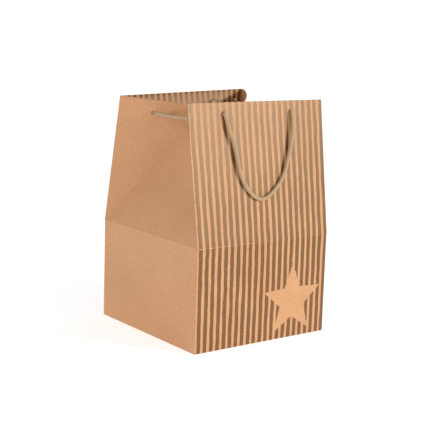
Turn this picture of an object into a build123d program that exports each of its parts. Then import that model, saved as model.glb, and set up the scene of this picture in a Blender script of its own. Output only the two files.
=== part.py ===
"""A kraft paper gift bag with a square block bottom and drawn-in side gussets.

The origin is the middle of the base, on the surface that the bag stands on. +Z is up and the
front panel faces -Y. Each paper panel between two creases is a piece of its own, because the
creases are the hinges of the mouth. All sizes are millimetres.
"""
import os
from math import acos, atan2, cos, degrees, hypot, pi, radians, sin, tan

from build123d import *

# The bag.
WIDTH = 200.0            # across the front panel
DEPTH = 205.0            # from the front panel to the back panel
CREASE_HEIGHT = 125.0    # of the level crease above which the bag tapers
TOP_LENGTH = 170.0       # of the paper from that crease to the rim
LEAN = 10.0              # of the front and back top panels, in degrees from upright
PAPER = 0.3              # thickness of one sheet
GLUE = 0.05              # space between two glued layers
CREASE_GAP = 0.2         # each panel stops this far from a crease line
EDGE_SETBACK = 1.9       # a gusset half stops this far from the acute fold at the panel's edge
DIAGONAL_SETBACK = 0.6   # and this far from the valley fold at the centre panel
TIP_CUT = 6.0            # length taken off the thin tip of a gusset half
APEX_CUT = 2.0           # length taken off the apex of a gusset centre panel

# The hem turned in at the rim, and the card stiffener that it holds.
HEM = 36.0
HEM_END_SETBACK = 9.0
GUSSET_HEM_SETBACK = 8.0
CARD_HEIGHT = 28.0
CARD_LENGTH = 176.0
CARD_THICKNESS = 0.6
CARD_RIM_SPACE = 1.5     # from the rim down to the card's top edge

# The glued side seam and the folded bottom.
SEAM_WIDTH = 14.0
SEAM_SETBACK = 7.0
SEAM_END_SPACE = 2.0
FLAP_OVERLAP = 26.0
TUCK_LENGTH = 62.0
TUCK_TAPER = 30.0        # each end of a tuck narrows by this much
FLAP_CORNER = 12.0
FOLD_CLEARANCE = 0.15    # between a bottom flap and the panels around it
BOARD_THICKNESS = 1.0
BOARD_CLEARANCE = 1.5    # around the loose board
BOARD_SEAT = 0.1

# The cords, their holes and knots.
CORD = 5.0
HOLE_CLEARANCE = 0.75    # between a cord and the edge of its hole
HANDLE_HOLES = 100.0     # apart, across a panel
HANDLE_HOLE_DROP = 14.0  # from the rim
HANDLE_GAP = 0.5         # from a panel's face to the side of the cord, where the handle swings
KNOT_RADIUS = 5.5
KNOT_SPACE = 0.3
STUB_SPACE = 0.2
TIE_CLEARANCE = 0.3      # around a tie where it slants through the gusset's layers
TIE_HOLES = ((45.0, 16.0), (62.0, 20.0))   # of the two ties: from the gusset's edge, and from the rim
TIE_SAG = 1.5

lean = radians(LEAN)
half_width = WIDTH / 2
half_depth = DEPTH / 2
half_rim = half_depth    # a gusset half is as wide as half the depth

# The gusset centre panel leans in by this much, so that the two halves of the gusset's rim keep
# their length while the front and back panels come together.
centre_lean = acos((1 - half_depth / TOP_LENGTH * sin(lean)) / cos(lean))
fold_angle = acos(TOP_LENGTH * sin(centre_lean) / half_rim)

front_foot = Vector(0, -half_depth, CREASE_HEIGHT)
front_up = Vector(0, sin(lean), cos(lean))
front_plane = Plane(origin=front_foot, x_dir=(-1, 0, 0), z_dir=(0, cos(lean), -sin(lean)))

centre_foot = Vector(-half_width, 0, CREASE_HEIGHT)
centre_up = Vector(sin(centre_lean), 0, cos(centre_lean))
centre_plane = Plane(origin=centre_foot, x_dir=(0, 1, 0),
                     z_dir=(cos(centre_lean), 0, -sin(centre_lean)))

edge_foot = Vector(-half_width, -half_depth, CREASE_HEIGHT)
edge_top = edge_foot + front_up * TOP_LENGTH
apex = centre_foot + centre_up * TOP_LENGTH
rim_along = (apex - edge_top).normalized()
half_plane = Plane(origin=edge_foot, x_dir=rim_along, z_dir=rim_along.cross(front_up))


def plate(plane, outline, thickness, depth=0.0, holes=(), hole_radius=0.0):
    """A flat sheet: an outline on a plane, starting at a depth behind it."""
    sheet = Polygon(*outline, align=None)
    for hole in holes:
        sheet -= Pos(*hole) * Circle(hole_radius)
    return extrude(plane.offset(depth) * sheet, thickness)


def rectangle(left, right, low, high):
    return [(left, low), (right, low), (right, high), (left, high)]


def turned(shape):
    """The same piece on the opposite side of the bag."""
    return shape.rotate(Axis.Z, 180)


def mirrored(shape):
    """The same piece at the other end of a gusset."""
    return mirror(shape, about=Plane.XZ)


def move_back(line_point, line_direction, distance):
    """A line on a panel, moved sideways to its left, as a point and a direction."""
    across = Vector(-line_direction.Y, line_direction.X, 0)
    return line_point + across * distance, line_direction


def at_height(line, height):
    """Where a line on a panel reaches a height."""
    point, direction = line
    along = (height - point.Y) / direction.Y
    return (point.X + direction.X * along, height)


def tube(points, diameter):
    """A round cord along straight runs joined by arcs as large as the runs allow."""
    places = [Vector(*point) for point in points]
    runs = [(b - a).length for a, b in zip(places, places[1:])]
    radii = []
    for i in range(1, len(places) - 1):
        turn = radians((places[i] - places[i - 1]).get_angle(places[i + 1] - places[i]))
        radii.append(0.45 * min(runs[i - 1], runs[i]) / tan(turn / 2))
    path = FilletPolyline(*places, radius=radii)
    section = Plane(origin=path @ 0, z_dir=path % 0) * Circle(diameter / 2)
    cord = sweep(section, path=path)
    expected = pi * diameter ** 2 / 4 * path.length
    print("cord length", round(path.length, 1), "volume ratio", round(cord.volume / expected, 4),
          "radii", [round(radius) for radius in radii])
    return cord


# --- The square lower box and its folded bottom ---

def lower_panels():
    box_height = CREASE_HEIGHT - CREASE_GAP
    front = Pos(0, -half_depth + PAPER / 2, box_height / 2) * Box(WIDTH, PAPER, box_height)
    side_length = DEPTH - 2 * (PAPER + GLUE)
    left = Pos(-half_width + PAPER / 2, 0, box_height / 2) * Box(PAPER, side_length, box_height)
    seam_height = box_height - 2 * SEAM_END_SPACE
    seam = Pos(half_width - SEAM_SETBACK - SEAM_WIDTH / 2,
               half_depth - 1.5 * PAPER - GLUE,
               box_height / 2) * Box(SEAM_WIDTH, PAPER, seam_height)
    return {
        "front_lower_panel": front,
        "back_lower_panel": turned(front),
        "left_lower_gusset": left,
        "right_lower_gusset": turned(left),
        "lower_seam_flap": seam,
    }


def bottom_flaps():
    inner_x = half_width - PAPER - FOLD_CLEARANCE
    inner_y = half_depth - PAPER - FOLD_CLEARANCE
    reach = FLAP_OVERLAP / 2
    outline = [(-inner_x, -inner_y), (inner_x, -inner_y), (inner_x, reach - FLAP_CORNER),
               (inner_x - FLAP_CORNER, reach), (-inner_x + FLAP_CORNER, reach),
               (-inner_x, reach - FLAP_CORNER)]
    tuck = [(-inner_x, -inner_y), (-inner_x + TUCK_LENGTH, -inner_y + TUCK_TAPER),
            (-inner_x + TUCK_LENGTH, inner_y - TUCK_TAPER), (-inner_x, inner_y)]
    layer = PAPER + GLUE
    left_tuck = plate(Plane.XY, tuck, PAPER, 2 * layer)
    return {
        "front_bottom_flap": plate(Plane.XY, outline, PAPER),
        "back_bottom_flap": turned(plate(Plane.XY, outline, PAPER, layer)),
        "left_bottom_tuck": left_tuck,
        "right_bottom_tuck": turned(left_tuck),
    }


def bottom_board():
    space = PAPER + FOLD_CLEARANCE + BOARD_CLEARANCE
    seat = 3 * PAPER + 2 * GLUE + BOARD_SEAT
    return Pos(0, 0, seat + BOARD_THICKNESS / 2) * Box(WIDTH - 2 * space, DEPTH - 2 * space,
                                                       BOARD_THICKNESS)


# --- The front and back top panels, with hem, card and seam ---

def top_panels():
    hole_radius = CORD / 2 + HOLE_CLEARANCE
    hole_height = TOP_LENGTH - HANDLE_HOLE_DROP
    holes = [(-HANDLE_HOLES / 2, hole_height), (HANDLE_HOLES / 2, hole_height)]
    panel = plate(front_plane,
                  rectangle(-half_width, half_width, CREASE_GAP, TOP_LENGTH),
                  PAPER, 0, holes, hole_radius)
    card_top = TOP_LENGTH - CARD_RIM_SPACE
    card = plate(front_plane,
                 rectangle(-CARD_LENGTH / 2, CARD_LENGTH / 2, card_top - CARD_HEIGHT, card_top),
                 CARD_THICKNESS, PAPER + GLUE, holes, hole_radius)
    hem_depth = PAPER + CARD_THICKNESS + 2 * GLUE
    hem_reach = half_width - HEM_END_SETBACK
    hem = plate(front_plane, rectangle(-hem_reach, hem_reach, TOP_LENGTH - HEM, TOP_LENGTH),
                PAPER, hem_depth, holes, hole_radius)
    seam_start = half_width - SEAM_SETBACK
    seam = plate(front_plane,
                 rectangle(seam_start - SEAM_WIDTH, seam_start,
                           SEAM_END_SPACE, TOP_LENGTH - HEM - SEAM_END_SPACE),
                 PAPER, PAPER + GLUE)
    return {
        "front_top_panel": panel,
        "front_card": card,
        "front_hem": hem,
        "back_top_panel": turned(panel),
        "back_card": turned(card),
        "back_hem": turned(hem),
        "upper_seam_flap": turned(seam),
    }


# --- The gussets: a centre triangle and two halves on each side ---

def gusset_centres():
    slant = Vector(-half_depth, TOP_LENGTH, 0).normalized()
    side = move_back(Vector(half_depth, 0, 0), slant, DIAGONAL_SETBACK)
    foot_x, foot_y = at_height(side, CREASE_GAP)
    top_x, top_y = at_height(side, TOP_LENGTH - APEX_CUT)
    top_x = max(top_x, CREASE_GAP)
    hem_x, hem_y = at_height(side, TOP_LENGTH - HEM)
    centre = plate(centre_plane,
                   [(-foot_x, foot_y), (foot_x, foot_y), (top_x, top_y), (-top_x, top_y)], PAPER)
    hem = plate(centre_plane,
                [(-hem_x, hem_y), (hem_x, hem_y), (top_x, top_y), (-top_x, top_y)],
                PAPER, PAPER + GLUE)
    return {
        "left_gusset_centre": centre,
        "left_gusset_centre_hem": hem,
        "right_gusset_centre": turned(centre),
        "right_gusset_centre_hem": turned(hem),
    }


def slanted_hole_radius():
    """A tie runs straight across the bag, so it meets a gusset half at a slant."""
    slant = acos(abs(half_plane.z_dir.Y))
    layers = 2 * PAPER + GLUE
    return (CORD / 2 + layers * sin(slant)) / cos(slant) + TIE_CLEARANCE


def gusset_halves():
    hole_radius = slanted_hole_radius()
    holes = [(along, TOP_LENGTH - drop) for along, drop in TIE_HOLES]
    slant = Vector(half_rim, TOP_LENGTH, 0).normalized()
    diagonal = move_back(Vector(0, 0, 0), slant, DIAGONAL_SETBACK)
    tip_height = EDGE_SETBACK / half_rim * TOP_LENGTH + TIP_CUT
    panel = [(EDGE_SETBACK, tip_height), at_height(diagonal, tip_height),
             at_height(diagonal, TOP_LENGTH - CREASE_GAP), (EDGE_SETBACK, TOP_LENGTH)]
    hem = [(GUSSET_HEM_SETBACK, TOP_LENGTH - HEM), at_height(diagonal, TOP_LENGTH - HEM),
           at_height(diagonal, TOP_LENGTH - CREASE_GAP), (GUSSET_HEM_SETBACK, TOP_LENGTH)]
    outer = plate(half_plane, panel, PAPER, 0, holes, hole_radius)
    inner = plate(half_plane, hem, PAPER, PAPER + GLUE, holes, hole_radius)
    pieces = {}
    for name, shape in (("", outer), ("_hem", inner), ("_knots", tie_knots())):
        pieces["left_gusset_front_half" + name] = shape
        pieces["left_gusset_back_half" + name] = mirrored(shape)
        pieces["right_gusset_front_half" + name] = turned(mirrored(shape))
        pieces["right_gusset_back_half" + name] = turned(shape)
    return pieces


# --- The two ties across each gusset's fold ---

def tie_hole(along, drop):
    """The middle of a tie's hole on the outer face of the left gusset's front half."""
    return edge_foot + rim_along * along + front_up * (TOP_LENGTH - drop)


def knot_back():
    """How far behind its hole a tie's knot sits, measured along the tie."""
    inward = half_plane.z_dir
    layers = 2 * PAPER + GLUE
    return (layers + KNOT_SPACE + KNOT_RADIUS) / abs(inward.Y)


def tie_knots():
    knots = []
    for along, drop in TIE_HOLES:
        place = tie_hole(along, drop) - Vector(0, knot_back(), 0)
        knots.append(Pos(*place) * Sphere(KNOT_RADIUS))
    return Compound(children=knots)


def gusset_ties():
    ties = {}
    for name, (along, drop) in zip(("outer", "inner"), TIE_HOLES):
        hole = tie_hole(along, drop)
        reach = -hole.Y + knot_back() - KNOT_RADIUS - STUB_SPACE
        route = [(hole.X, -reach, hole.Z), (hole.X, -reach / 3, hole.Z - TIE_SAG),
                 (hole.X, reach / 3, hole.Z - TIE_SAG), (hole.X, reach, hole.Z)]
        tie = tube(route, CORD)
        ties[f"left_{name}_tie"] = tie
        ties[f"right_{name}_tie"] = turned(tie)
    return ties


# --- The handles: a hanging loop of cord, and its knotted ends ---

# Along the panel from its middle, up from its crease, and from its face to the side of the cord.
HANDLE_ROUTE = [
    (-50.0, 156.0, HANDLE_GAP), (-47.5, 139.0, 2.0), (-40.0, 121.5, 2.0), (-37.0, 100.5, 1.5),
    (-32.5, 78.0, 1.0), (-18.5, 57.5, 0.5), (-2.5, 50.0, 0.5), (15.0, 59.0, 0.5),
    (32.0, 77.0, 0.7), (40.0, 99.5, 1.3), (46.5, 121.0, 2.0), (50.0, 139.5, 2.0),
    (50.0, 156.0, HANDLE_GAP),
]


def on_front(along, up, out):
    return front_foot + Vector(along, 0, 0) + front_up * up - front_plane.z_dir * out


def handle_knot(side):
    """The cord's end: a knot behind the hem, and the short length that fills the hole."""
    layers = 2 * PAPER + CARD_THICKNESS + 2 * GLUE
    up = TOP_LENGTH - HANDLE_HOLE_DROP
    along = side * HANDLE_HOLES / 2
    outer_end = HANDLE_GAP - STUB_SPACE
    knot_depth = layers + KNOT_SPACE + KNOT_RADIUS
    stub = Plane(origin=on_front(along, up, outer_end), z_dir=front_plane.z_dir) * Circle(CORD / 2)
    return (extrude(stub, outer_end + knot_depth)
            + Pos(*on_front(along, up, -knot_depth)) * Sphere(KNOT_RADIUS))


def handles():
    loop = tube([on_front(along, up, gap + CORD / 2) for along, up, gap in HANDLE_ROUTE], CORD)
    left_knot = handle_knot(-1)
    right_knot = handle_knot(1)
    return {
        "front_handle": loop,
        "back_handle": turned(loop),
        "front_left_knot": left_knot,
        "front_right_knot": right_knot,
        "back_right_knot": turned(left_knot),
        "back_left_knot": turned(right_knot),
    }


pieces = {"bottom_board": bottom_board()}
for group in (lower_panels(), bottom_flaps(), top_panels(), gusset_centres(), gusset_halves(),
              gusset_ties(), handles()):
    pieces.update(group)

os.makedirs("parts", exist_ok=True)
for name, shape in pieces.items():
    export_step(shape, f"parts/{name}.step")

edge_axis = (edge_top - edge_foot).normalized()
print("pieces", len(pieces))
print("centre lean", round(degrees(centre_lean), 3), "fold angle", round(degrees(fold_angle), 3))
print("apex", apex, "edge axis", edge_axis, "tie hole radius", round(slanted_hole_radius(), 2))
print("handle axis", on_front(0, TOP_LENGTH - HANDLE_HOLE_DROP, CORD / 2 + HANDLE_GAP))
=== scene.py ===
# %% [markdown]
# # A kraft paper gift bag with a folding mouth
# The bag is one printed sheet of brown kraft paper, creased into a square box below and a narrowing mouth
# above. Two cord handles hang from knots behind its rim, and two short ties hold each side fold together.
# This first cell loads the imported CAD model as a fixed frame, and every piece made later sits in that
# frame, in metres.

# %% load the frame
import math

import bmesh
import bpy
from mathutils import Matrix, Vector


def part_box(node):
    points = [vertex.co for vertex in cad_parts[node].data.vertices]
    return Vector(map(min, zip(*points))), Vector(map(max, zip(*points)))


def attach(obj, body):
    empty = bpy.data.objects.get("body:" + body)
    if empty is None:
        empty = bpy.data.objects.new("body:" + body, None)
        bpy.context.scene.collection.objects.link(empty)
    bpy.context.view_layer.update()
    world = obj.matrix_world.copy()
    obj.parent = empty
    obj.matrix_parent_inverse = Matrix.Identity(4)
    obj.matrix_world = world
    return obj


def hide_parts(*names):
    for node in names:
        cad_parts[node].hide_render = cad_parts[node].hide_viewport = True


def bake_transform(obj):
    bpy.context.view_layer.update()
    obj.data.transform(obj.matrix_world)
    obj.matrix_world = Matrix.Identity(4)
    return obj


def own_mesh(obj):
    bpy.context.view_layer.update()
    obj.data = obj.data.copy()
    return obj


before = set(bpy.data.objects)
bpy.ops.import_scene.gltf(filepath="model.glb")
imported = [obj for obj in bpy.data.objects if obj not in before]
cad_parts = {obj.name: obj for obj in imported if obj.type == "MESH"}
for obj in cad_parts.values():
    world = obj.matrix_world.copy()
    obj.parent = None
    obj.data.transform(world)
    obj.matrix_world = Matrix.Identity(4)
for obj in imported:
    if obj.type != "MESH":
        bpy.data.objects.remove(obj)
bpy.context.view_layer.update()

# %% [markdown]
# ## The size of the bag, read from the frame
# A paper model starts from a few sizes: the width and depth of the box, the height of the level crease,
# the reach of the leaning panels above it and the depth of the hem. Width and depth are read from the CAD
# boxes, so the looks follow them, and the others repeat the CAD model's own sizes.

# %% read the sizes
wall_low, wall_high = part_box("front_lower_panel")
rim_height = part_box("front_top_panel")[1].z
WIDTH = wall_high.x - wall_low.x
DEPTH = -2 * wall_low.y
CREASE = 0.125
REACH = 0.170
HEM = 0.036
PAPER = 0.0003
HALF_WIDTH = WIDTH / 2
HALF_DEPTH = DEPTH / 2
print("width", round(WIDTH, 4), "depth", round(DEPTH, 4), "rim height", round(rim_height, 4))

# %% [markdown]
# ## The camera
# A camera is a place, a direction and a lens. This one stands low and to the left of the front, a little
# rolled, with a long lens that keeps the upright edges nearly parallel. The three direction vectors
# become the columns of its matrix.

# %% the camera
CAMERA_PLACE = (-0.83151, -1.10247, 0.39329)
LENS = 92.48
azimuth = math.radians(-37.055)
elevation = math.radians(10.371)
roll = math.radians(1.795)
backward = Vector((
    math.sin(azimuth) * math.cos(elevation),
    -math.cos(azimuth) * math.cos(elevation),
    math.sin(elevation),
))
level_right = (-backward).cross(Vector((0, 0, 1))).normalized()
level_up = level_right.cross(-backward)
camera_right = math.cos(roll) * level_right + math.sin(roll) * level_up
camera_up = math.cos(roll) * level_up - math.sin(roll) * level_right
turned_axes = Matrix((camera_right, camera_up, backward)).transposed().to_4x4()
camera_data = bpy.data.cameras.new("camera")
camera_data.sensor_width = 36
camera_data.lens = LENS
camera = bpy.data.objects.new("camera", camera_data)
camera.matrix_world = Matrix.Translation(CAMERA_PLACE) @ turned_axes
bpy.context.scene.collection.objects.link(camera)
bpy.context.scene.camera = camera
print("lens", camera_data.lens, "mm")

# %% [markdown]
# ## How the paper stands
# Fresh from the fold, all four rim corners would stand alike. Paper is springy, so each one has settled
# by a few millimetres. A sheet is drawn flat first and then carried to its place by a rule that turns
# flat coordinates into points in space. The feet at the crease, the corners of the rim and the inner tips
# of the side folds are all that such a rule needs.

# %% the corners
FOOT = {
    "front_left": Vector((-HALF_WIDTH, -HALF_DEPTH, CREASE)),
    "front_right": Vector((HALF_WIDTH, -HALF_DEPTH, CREASE)),
    "back_right": Vector((HALF_WIDTH, HALF_DEPTH, CREASE)),
    "back_left": Vector((-HALF_WIDTH, HALF_DEPTH, CREASE)),
}
RIM = {
    "front_left": Vector((-HALF_WIDTH, -0.0741, 0.2911)),
    "front_right": Vector((HALF_WIDTH, -0.0803, 0.2915)),
    "back_right": Vector((HALF_WIDTH, 0.0794, 0.2934)),
    "back_left": Vector((-HALF_WIDTH, 0.0698, 0.2888)),
}
TIP_HEIGHT = 0.27955
TIP_OUT = 0.029186
TIP = {
    "left": Vector((-TIP_OUT, 0, TIP_HEIGHT)),
    "right": Vector((TIP_OUT, 0, TIP_HEIGHT)),
}
PANEL_SIDES = {"front": ("front_left", "front_right"), "back": ("back_right", "back_left")}


def on_panel(name, along, up, out):
    """A point of a leaning panel: metres from its left edge, up from the crease, and out from its face."""
    left, right = PANEL_SIDES[name]
    share = along / WIDTH
    foot = FOOT[left].lerp(FOOT[right], share)
    rim = RIM[left].lerp(RIM[right], share)
    outward = (FOOT[right] - FOOT[left]).cross(rim - foot).normalized()
    return foot + (rim - foot) * (up / REACH) + outward * out


print("front rim from", on_panel("front", 0, REACH, 0), "to", on_panel("front", WIDTH, REACH, 0))

# %% [markdown]
# ## The cord and its path
# Each handle is 5 mm soft cord, tied behind the panel and hanging in a loop against it. A cord follows a
# smooth line, so its path is a NURBS curve drawn towards a few listed control points. Blender turns
# the curve into a fine line of points, and the tube, its twist and its ends all follow that line.

# %% a smooth line through control points
CORD = 0.005


def smooth_line(points, steps=12):
    """The fine points of a NURBS line with these control points."""
    route = bpy.data.curves.new("route", "CURVE")
    route.dimensions = "3D"
    spline = route.splines.new("NURBS")
    spline.points.add(len(points) - 1)
    for control, place in zip(spline.points, points):
        control.co = (*place, 1.0)
    spline.order_u = 3
    spline.use_endpoint_u = True
    spline.resolution_u = steps
    holder = bpy.data.objects.new("route", route)
    drawn = bpy.data.meshes.new_from_object(holder)
    line = [vertex.co.copy() for vertex in drawn.vertices]
    bpy.data.meshes.remove(drawn)
    bpy.data.objects.remove(holder)
    bpy.data.curves.remove(route)
    return line


def length_of(line):
    """The length of a line of points."""
    return sum((b - a).length for a, b in zip(line, line[1:]))


hoop_points = ((-0.05, 0, 0), (-0.05, -0.1, 0), (0.05, -0.1, 0), (0.05, 0, 0))
half_hoop = smooth_line(hoop_points)
print("a trial line has", len(half_hoop), "points and is", round(length_of(half_hoop), 4), "m long")

# %% [markdown]
# A tube is a ring of edges carried along the line. `extrude_edge_only` leaves the old ring behind and
# gives a new one, and a matrix sets the new ring across the line at the next point. The ring has six soft
# lobes and turns slowly as it travels, so that the cord doesn't look like a smooth rod. Two layers on the
# vertices remember how far round and how far along each one is, so that the tube can have a UV map that
# never slides. Smaller rings past both ends round them off.

# %% a tube along a line
RING_SIDES = 18
LOBES = 6
LOBE_HEIGHT = 0.05


def rounded_end(line, girth):
    """The line and its radii with a few smaller rings added past each end, for a rounded end."""
    places = list(line)
    radii = [girth(i / (len(line) - 1)) for i in range(len(line))]
    start_way = (line[0] - line[1]).normalized()
    end_way = (line[-1] - line[-2]).normalized()
    for bend in (30, 60, 85):
        sine = math.sin(math.radians(bend))
        cosine = math.cos(math.radians(bend))
        places.insert(0, line[0] + start_way * girth(0) * sine)
        radii.insert(0, girth(0) * cosine)
        places.append(line[-1] + end_way * girth(1) * sine)
        radii.append(girth(1) * cosine)
    return places, radii


def lay_tube(bm, line, girth, twist=90.0):
    """Fills an empty bmesh with a closed tube; girth gives its radius, twist is in radians a metre."""
    places, radii = rounded_end(line, girth)
    round_layer = bm.verts.layers.float.new("around")
    along_layer = bm.verts.layers.float.new("along")
    ring = bmesh.ops.create_circle(bm, segments=RING_SIDES, radius=1.0)["verts"]
    for vertex in ring:
        angle = math.atan2(vertex.co.y, vertex.co.x)
        vertex[round_layer] = angle / math.tau + 0.5
        vertex.co *= 1 + LOBE_HEIGHT * math.cos(LOBES * angle)
    edges = bm.edges[:]
    side = (places[1] - places[0]).orthogonal().normalized()
    last = Matrix.Identity(4)
    run = 0.0
    for i, place in enumerate(places):
        ahead = places[min(i + 1, len(places) - 1)] - places[max(i - 1, 0)]
        ahead.normalize()
        side = (side - ahead * side.dot(ahead)).normalized()
        if i:
            run += (place - places[i - 1]).length
            grown = bmesh.ops.extrude_edge_only(bm, edges=edges)["geom"]
            ring = [part for part in grown if isinstance(part, bmesh.types.BMVert)]
            edges = [part for part in grown if isinstance(part, bmesh.types.BMEdge)]
            edges = [edge for edge in edges if all(vertex in ring for vertex in edge.verts)]
        across = Matrix((side, ahead.cross(side), ahead)).transposed().to_4x4()
        turned = across @ Matrix.Rotation(twist * run, 4, "Z")
        here = Matrix.Translation(place) @ turned @ Matrix.Scale(radii[i], 4)
        bmesh.ops.transform(bm, matrix=here @ last.inverted(), verts=ring)
        last = here
        for vertex in ring:
            vertex[along_layer] = run
    open_edges = [edge for edge in bm.edges if edge.is_boundary]
    bmesh.ops.holes_fill(bm, edges=open_edges, sides=0)
    uv_layer = bm.loops.layers.uv.new("paper")
    for face in bm.faces:
        shares = [loop.vert[round_layer] for loop in face.loops]
        wraps = max(shares) - min(shares) > 0.5 and len(shares) == 4
        for loop, share in zip(face.loops, shares):
            if wraps and share < 0.5:
                share += 1
            loop[uv_layer].uv = (share, loop.vert[along_layer])
    bmesh.ops.recalc_face_normals(bm, faces=bm.faces)


trial = bmesh.new()
lay_tube(trial, half_hoop, lambda share: CORD / 2)
open_edges = [edge for edge in trial.edges if edge.is_boundary]
print("a trial tube has", len(trial.faces), "faces and", len(open_edges), "open edges")
trial.free()

# %% [markdown]
# ## From a bmesh to a named piece
# Every piece goes through the same last step: the bmesh becomes a mesh, the mesh becomes an object at the
# origin, and the object is told which body it rides on and which CAD solids it stands for.

# %% finish a piece
PIECES = {}


def make_piece(name, bm, body, replaces=(), smooth=True):
    """A named object from a bmesh, riding on a body and standing for CAD nodes."""
    mesh = bpy.data.meshes.new(name)
    bm.to_mesh(mesh)
    bm.free()
    piece = bpy.data.objects.new(name, mesh)
    bpy.context.scene.collection.objects.link(piece)
    if smooth:
        mesh.shade_smooth()
    if body:
        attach(piece, body)
    if replaces:
        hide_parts(*replaces)
    PIECES[name] = piece
    return piece


print("pieces so far", len(PIECES))

# %% [markdown]
# ## The two handles
# The control points are measured on the panel: how far along it from its middle, how far up from the
# crease, and the gap between paper and cord. The loop comes out of its holes, lies against the paper at
# its lowest point, and is not quite even, because soft cord keeps the bends it was packed with. The back
# panel carries the same loop, so it is turned half a turn with its panel. A cord under load is a little
# thinner than a loose one.

# %% handle loops
HANDLE_ROUTE = [
    (-0.0500, 0.1560, 0.0005), (-0.0475, 0.1390, 0.0020), (-0.0400, 0.1215, 0.0020),
    (-0.0370, 0.1005, 0.0015), (-0.0325, 0.0780, 0.0010), (-0.0185, 0.0575, 0.0005),
    (-0.0025, 0.0500, 0.0005), (0.0150, 0.0590, 0.0005), (0.0320, 0.0770, 0.0007),
    (0.0400, 0.0995, 0.0013), (0.0465, 0.1210, 0.0020), (0.0500, 0.1395, 0.0020),
    (0.0500, 0.1560, 0.0005),
]


def loaded_girth(share):
    """The radius of a handle, the same all along."""
    return CORD * 0.45


for side in ("front", "back"):
    route = [on_panel(side, HALF_WIDTH + along, up, gap + CORD / 2) for along, up, gap in HANDLE_ROUTE]
    line = smooth_line(route)
    bm = bmesh.new()
    lay_tube(bm, line, loaded_girth)
    name = f"{side}_handle_cord"
    loop_piece = make_piece(name, bm, f"{side}_handle_loop", [f"{side}_handle"])
    tuple(line[0])
    print(name, "length", round(length_of(line), 4), "m")

# %% [markdown]
# ## The side folds of the mouth
# Above the crease, each side of the bag folds inward along two slanting creases. Between them is a centre
# triangle; beside it are two halves, one hinged to the front panel and one to the back. A half is a flat
# triangle, so three points place it: the foot of the fold, its rim corner and the inner tip. `on_half` is
# that rule. A soft bow keeps the paper from looking like sheet metal; it dies away at both creases, and
# the back right fold has sprung out the most. Each bow has a height in metres and a power: under 1 the
# bow rises steeply from the creases.

# %% where a half's points go
BOWS = {
    "front_left": (0.0022, 1.0),
    "back_left": (0.0010, 1.0),
    "front_right": (0.0030, 1.0),
    "back_right": (0.0098, 0.5),
}


def on_half(corner, in_from_edge, up, depth):
    """A point of a gusset half: metres in from its edge fold, up from its foot, and behind its face."""
    side = corner.split("_")[1]
    foot, rim, tip = FOOT[corner], RIM[corner], TIP[side]
    upward, inward = rim - foot, tip - rim
    place = foot + upward * (up / REACH) + inward * (in_from_edge / HALF_DEPTH)
    outward = inward.cross(upward).normalized()
    if corner in ("front_left", "back_right"):
        outward = -outward
    room = max(HALF_DEPTH * up / REACH, 1e-6)
    across = min(max(in_from_edge / room, 0.0), 1.0)
    height, power = BOWS[corner]
    rise = min(max(up / REACH, 0.0), 1.0) ** 2
    bow = height * rise * max(math.sin(math.pi * across), 0.0) ** power
    return place + outward * (bow - depth)


print("left tip", on_half("back_left", HALF_DEPTH, REACH, 0))

# %% [markdown]
# ## The ties of the side folds
# Two short cords pass through both halves of each side fold, with a knot behind each hole. They are what
# pulls the fold shut. The cord is soft and its hole is small, so it is squeezed thin where it leaves the
# paper and fills out over the first fifth of its length. It sags by about a millimetre. A hole's place is
# how far in from the edge fold and how far up from its foot it is.

# %% ties
TIE_HOLES = {"outer": (0.045, 0.1535), "inner": (0.062, 0.1524)}
TIE_END_DEPTH = 0.0015
TIE_SAG = 0.0015
TIE_GIRTH = CORD * 0.44
SQUEEZED = 0.45
SQUEEZED_STRETCH = 0.2


def squeezed_girth(share):
    """The radius of a tie: thin at both holes, full between them."""
    nearest = min(share, 1 - share)
    fill = min(nearest / SQUEEZED_STRETCH, 1.0)
    fill = fill * fill * (3 - 2 * fill)
    return TIE_GIRTH * (SQUEEZED + (1 - SQUEEZED) * fill)


for side in ("left", "right"):
    for which, (inward, up) in TIE_HOLES.items():
        front = on_half(f"front_{side}", inward, up, TIE_END_DEPTH)
        back = on_half(f"back_{side}", inward, up, TIE_END_DEPTH)
        sag = Vector((0, 0, TIE_SAG))
        near_third = front.lerp(back, 1 / 3) - sag
        far_third = front.lerp(back, 2 / 3) - sag
        line = smooth_line([front, near_third, far_third, back], steps=16)
        bm = bmesh.new()
        lay_tube(bm, line, squeezed_girth)
        name = f"{side}_{which}_tie_cord"
        tie = make_piece(name, bm, f"{side}_ties", [f"{side}_{which}_tie"])
        tuple(line[0])
        round(length_of(line), 4)
        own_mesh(tie)
        print(name, "length", round(length_of(line), 4), "m")

# %% [markdown]
# ## The knots
# Each cord end is an overhand knot. Its path is the open form of the trefoil curve, the simplest curve
# with a real knot in it, entered from the hole and left with a short cut tail. Made small and pulled
# tight, it is flatter than it is wide and stands just behind the paper. The knots of the back handle
# stand further in, behind the sprung hem.

# %% the shape of a knot
KNOT_CORD = 0.0019
KNOT_UNIT = 0.0016
KNOT_STEPS = 16


def tight_girth(share):
    """The radius of the cord inside a knot: where it is squeezed."""
    return KNOT_CORD


def knot_route(into_hole):
    """Control points of a knot about the origin, with +Z pointing to the hole."""
    points = [Vector((0, 0, into_hole)), Vector((0, 0, into_hole * 0.55)), Vector((0, 0, 0.0030))]
    for step in range(KNOT_STEPS + 1):
        t = math.radians(20) + math.tau * 0.94 * step / KNOT_STEPS
        x = math.sin(t) + 2 * math.sin(2 * t)
        y = math.cos(t) - 2 * math.cos(2 * t)
        z = -math.sin(3 * t)
        points.append(Vector((x, y, z)) * KNOT_UNIT)
    tail = points[-1] + Vector((0.3, -1.0, -0.4)).normalized() * 0.007
    return points + [tail, tail + Vector((0.001, -0.004, -0.001))]


print("a knot's path has", len(knot_route(0.01)), "control points")

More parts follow.
